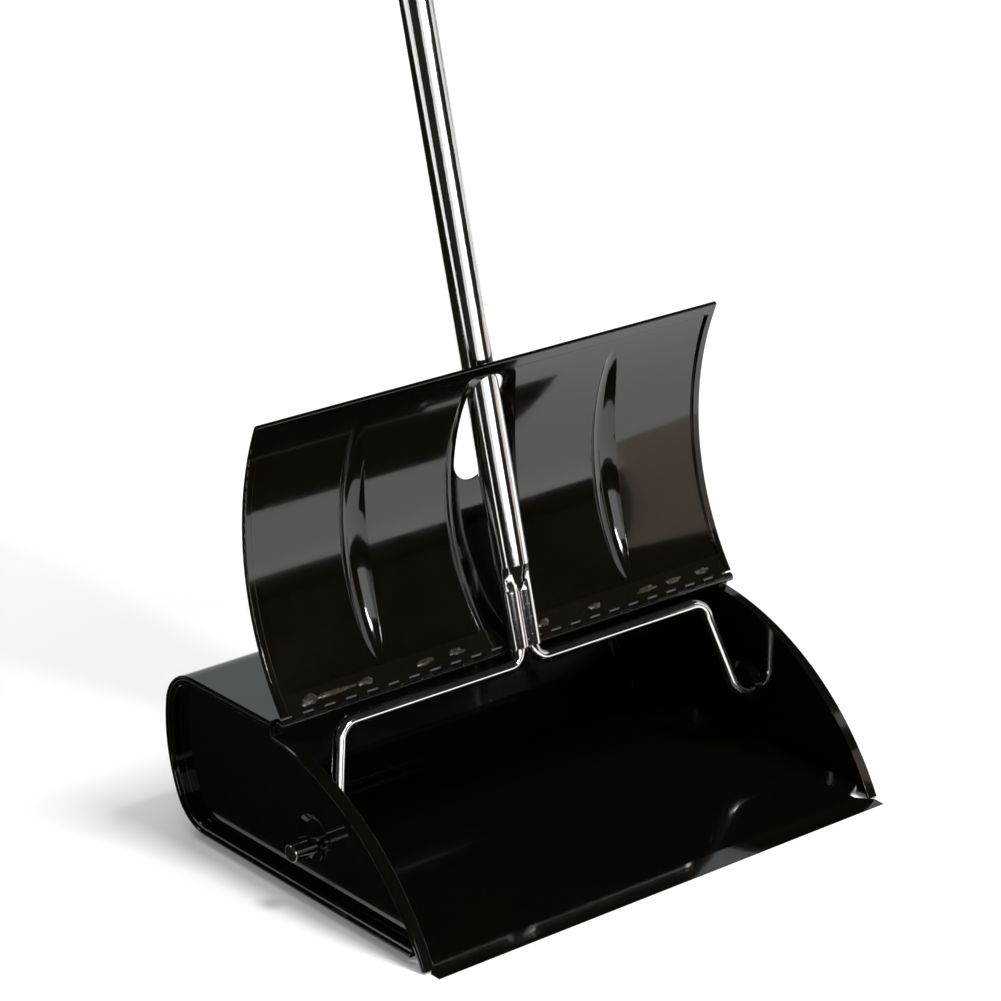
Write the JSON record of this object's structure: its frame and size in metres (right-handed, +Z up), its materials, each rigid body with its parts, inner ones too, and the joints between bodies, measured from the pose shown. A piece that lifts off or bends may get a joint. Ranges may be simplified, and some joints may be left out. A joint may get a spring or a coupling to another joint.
{
  "type": "lobby dust pan",
  "caption": "Upright steel dust pan with folded end seams, a hinged curved lid slotted for the handle, and a long chrome handle on a wire bail that turns in the end panels.",
  "frame": {"origin": "middle of the front edge of the lip, on the floor", "axes": "+X to the right along the lid hinge seen from the front, +Y from the lip towards the back of the pan, +Z up"},
  "size_m": [0.3254, 0.3351, 0.9038],
  "materials": {
    "black_enamel": "gloss black baked enamel",
    "chrome_plate": "bright chrome plate",
    "pin_steel": "drawn wire",
    "grip_plastic": "matt black moulded sleeve",
    "cap_plastic": "satin black moulding"
  },
  "bodies": {
    "pan": {"pan_shell": "black_enamel", "side_panel_right": "black_enamel", "side_panel_left": "black_enamel", "hinge_leaf_pan": "black_enamel", "hinge_pin": "pin_steel"},
    "lid": {"lid_panel": "black_enamel", "hinge_leaf_lid": "black_enamel"},
    "handle": {"bail_wire_right": "chrome_plate", "bail_wire_left": "chrome_plate", "wire_cap_right": "chrome_plate", "wire_cap_left": "chrome_plate", "handle_tube": "chrome_plate", "handle_grip": "grip_plastic", "hang_cap": "cap_plastic"}
  },
  "joints": [
    {"name": "handle_pivot", "type": "hinge", "parent": "pan", "child": "handle", "pos_m": [0, 0.098, 0.033], "axis": [1, 0, 0], "range_deg": [0, 92.2]},
    {"name": "lid_hinge", "type": "hinge", "parent": "pan", "child": "lid", "pos_m": [0, 0.1215, 0.0894], "axis": [1, 0, 0], "range_deg": [0, 131]}
  ],
  "couplings": [
    {"joint": "lid_hinge", "follows": "handle_pivot", "ratio": 1.42}
  ]
}
